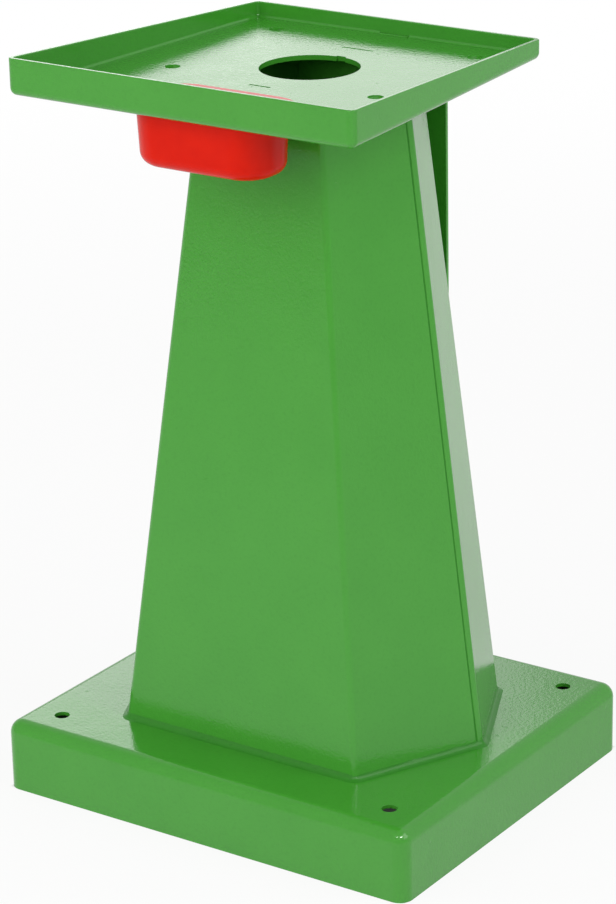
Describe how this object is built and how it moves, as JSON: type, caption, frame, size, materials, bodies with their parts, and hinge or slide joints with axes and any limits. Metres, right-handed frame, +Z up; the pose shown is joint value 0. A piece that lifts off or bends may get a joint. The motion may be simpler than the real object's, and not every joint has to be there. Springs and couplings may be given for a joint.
{
  "type": "bench grinder stand",
  "caption": "Free-standing welded sheet-steel pedestal with a rimmed tray for a bench grinder, a wide anchor base, a rear panel and a lift-out coolant cup.",
  "frame": {"origin": "on the floor, under the middle of the base", "axes": "+X to the operator's right, +Y from the operator's side to the rear, +Z up"},
  "size_m": [0.5, 0.426, 0.796],
  "materials": {
    "frame_paint": "gloss green powder coat with fine orange peel",
    "weld_paint": "gloss green powder coat over weld beads",
    "cup_plastic": "glossy moulded red plastic"
  },
  "bodies": {
    "stand": {"base_pan": "frame_paint", "column_front_shell": "frame_paint", "column_rear_shell": "frame_paint", "tray": "frame_paint", "rear_panel": "frame_paint", "base_corner_weld_front_left": "weld_paint", "base_corner_weld_front_right": "weld_paint", "base_corner_weld_rear_right": "weld_paint", "base_corner_weld_rear_left": "weld_paint", "column_seam_weld_right": "weld_paint", "column_seam_weld_left": "weld_paint", "foot_weld": "weld_paint", "head_weld": "weld_paint", "tray_corner_weld_front_left": "weld_paint", "tray_corner_weld_front_right": "weld_paint", "tray_corner_weld_rear_right": "weld_paint", "tray_corner_weld_rear_left": "weld_paint", "panel_head_weld": "weld_paint", "panel_foot_weld": "weld_paint"},
    "cup": {"coolant_cup": "cup_plastic"}
  },
  "joints": [
    {"name": "cup_lift", "type": "slide", "parent": "stand", "child": "cup", "axis": [0, 0, 1], "range_m": [0, 0.1]}
  ]
}
